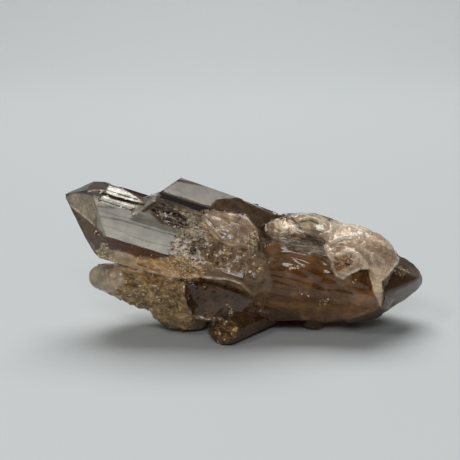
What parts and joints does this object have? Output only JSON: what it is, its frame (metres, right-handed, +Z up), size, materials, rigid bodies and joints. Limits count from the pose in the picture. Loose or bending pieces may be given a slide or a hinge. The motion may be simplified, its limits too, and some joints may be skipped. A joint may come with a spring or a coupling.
{
  "type": "smoky quartz cluster",
  "caption": "Natural smoky quartz cluster lying on its side: parallel prisms with points at the left, a pale broken crown and a dark point at the right.",
  "frame": {"origin": "on the surface it rests on, under the middle of the cluster's box", "axes": "+X along the cluster from the light point to the dark point, +Z up, the striated front faces towards -Y"},
  "size_m": [0.106, 0.0398, 0.0472],
  "materials": {
    "smoky_quartz": "clear to cloudy grey-brown crystal, satin striated faces, glossy breaks"
  },
  "bodies": {
    "root": {"quartz_cluster": "smoky_quartz"}
  },
  "joints": []
}
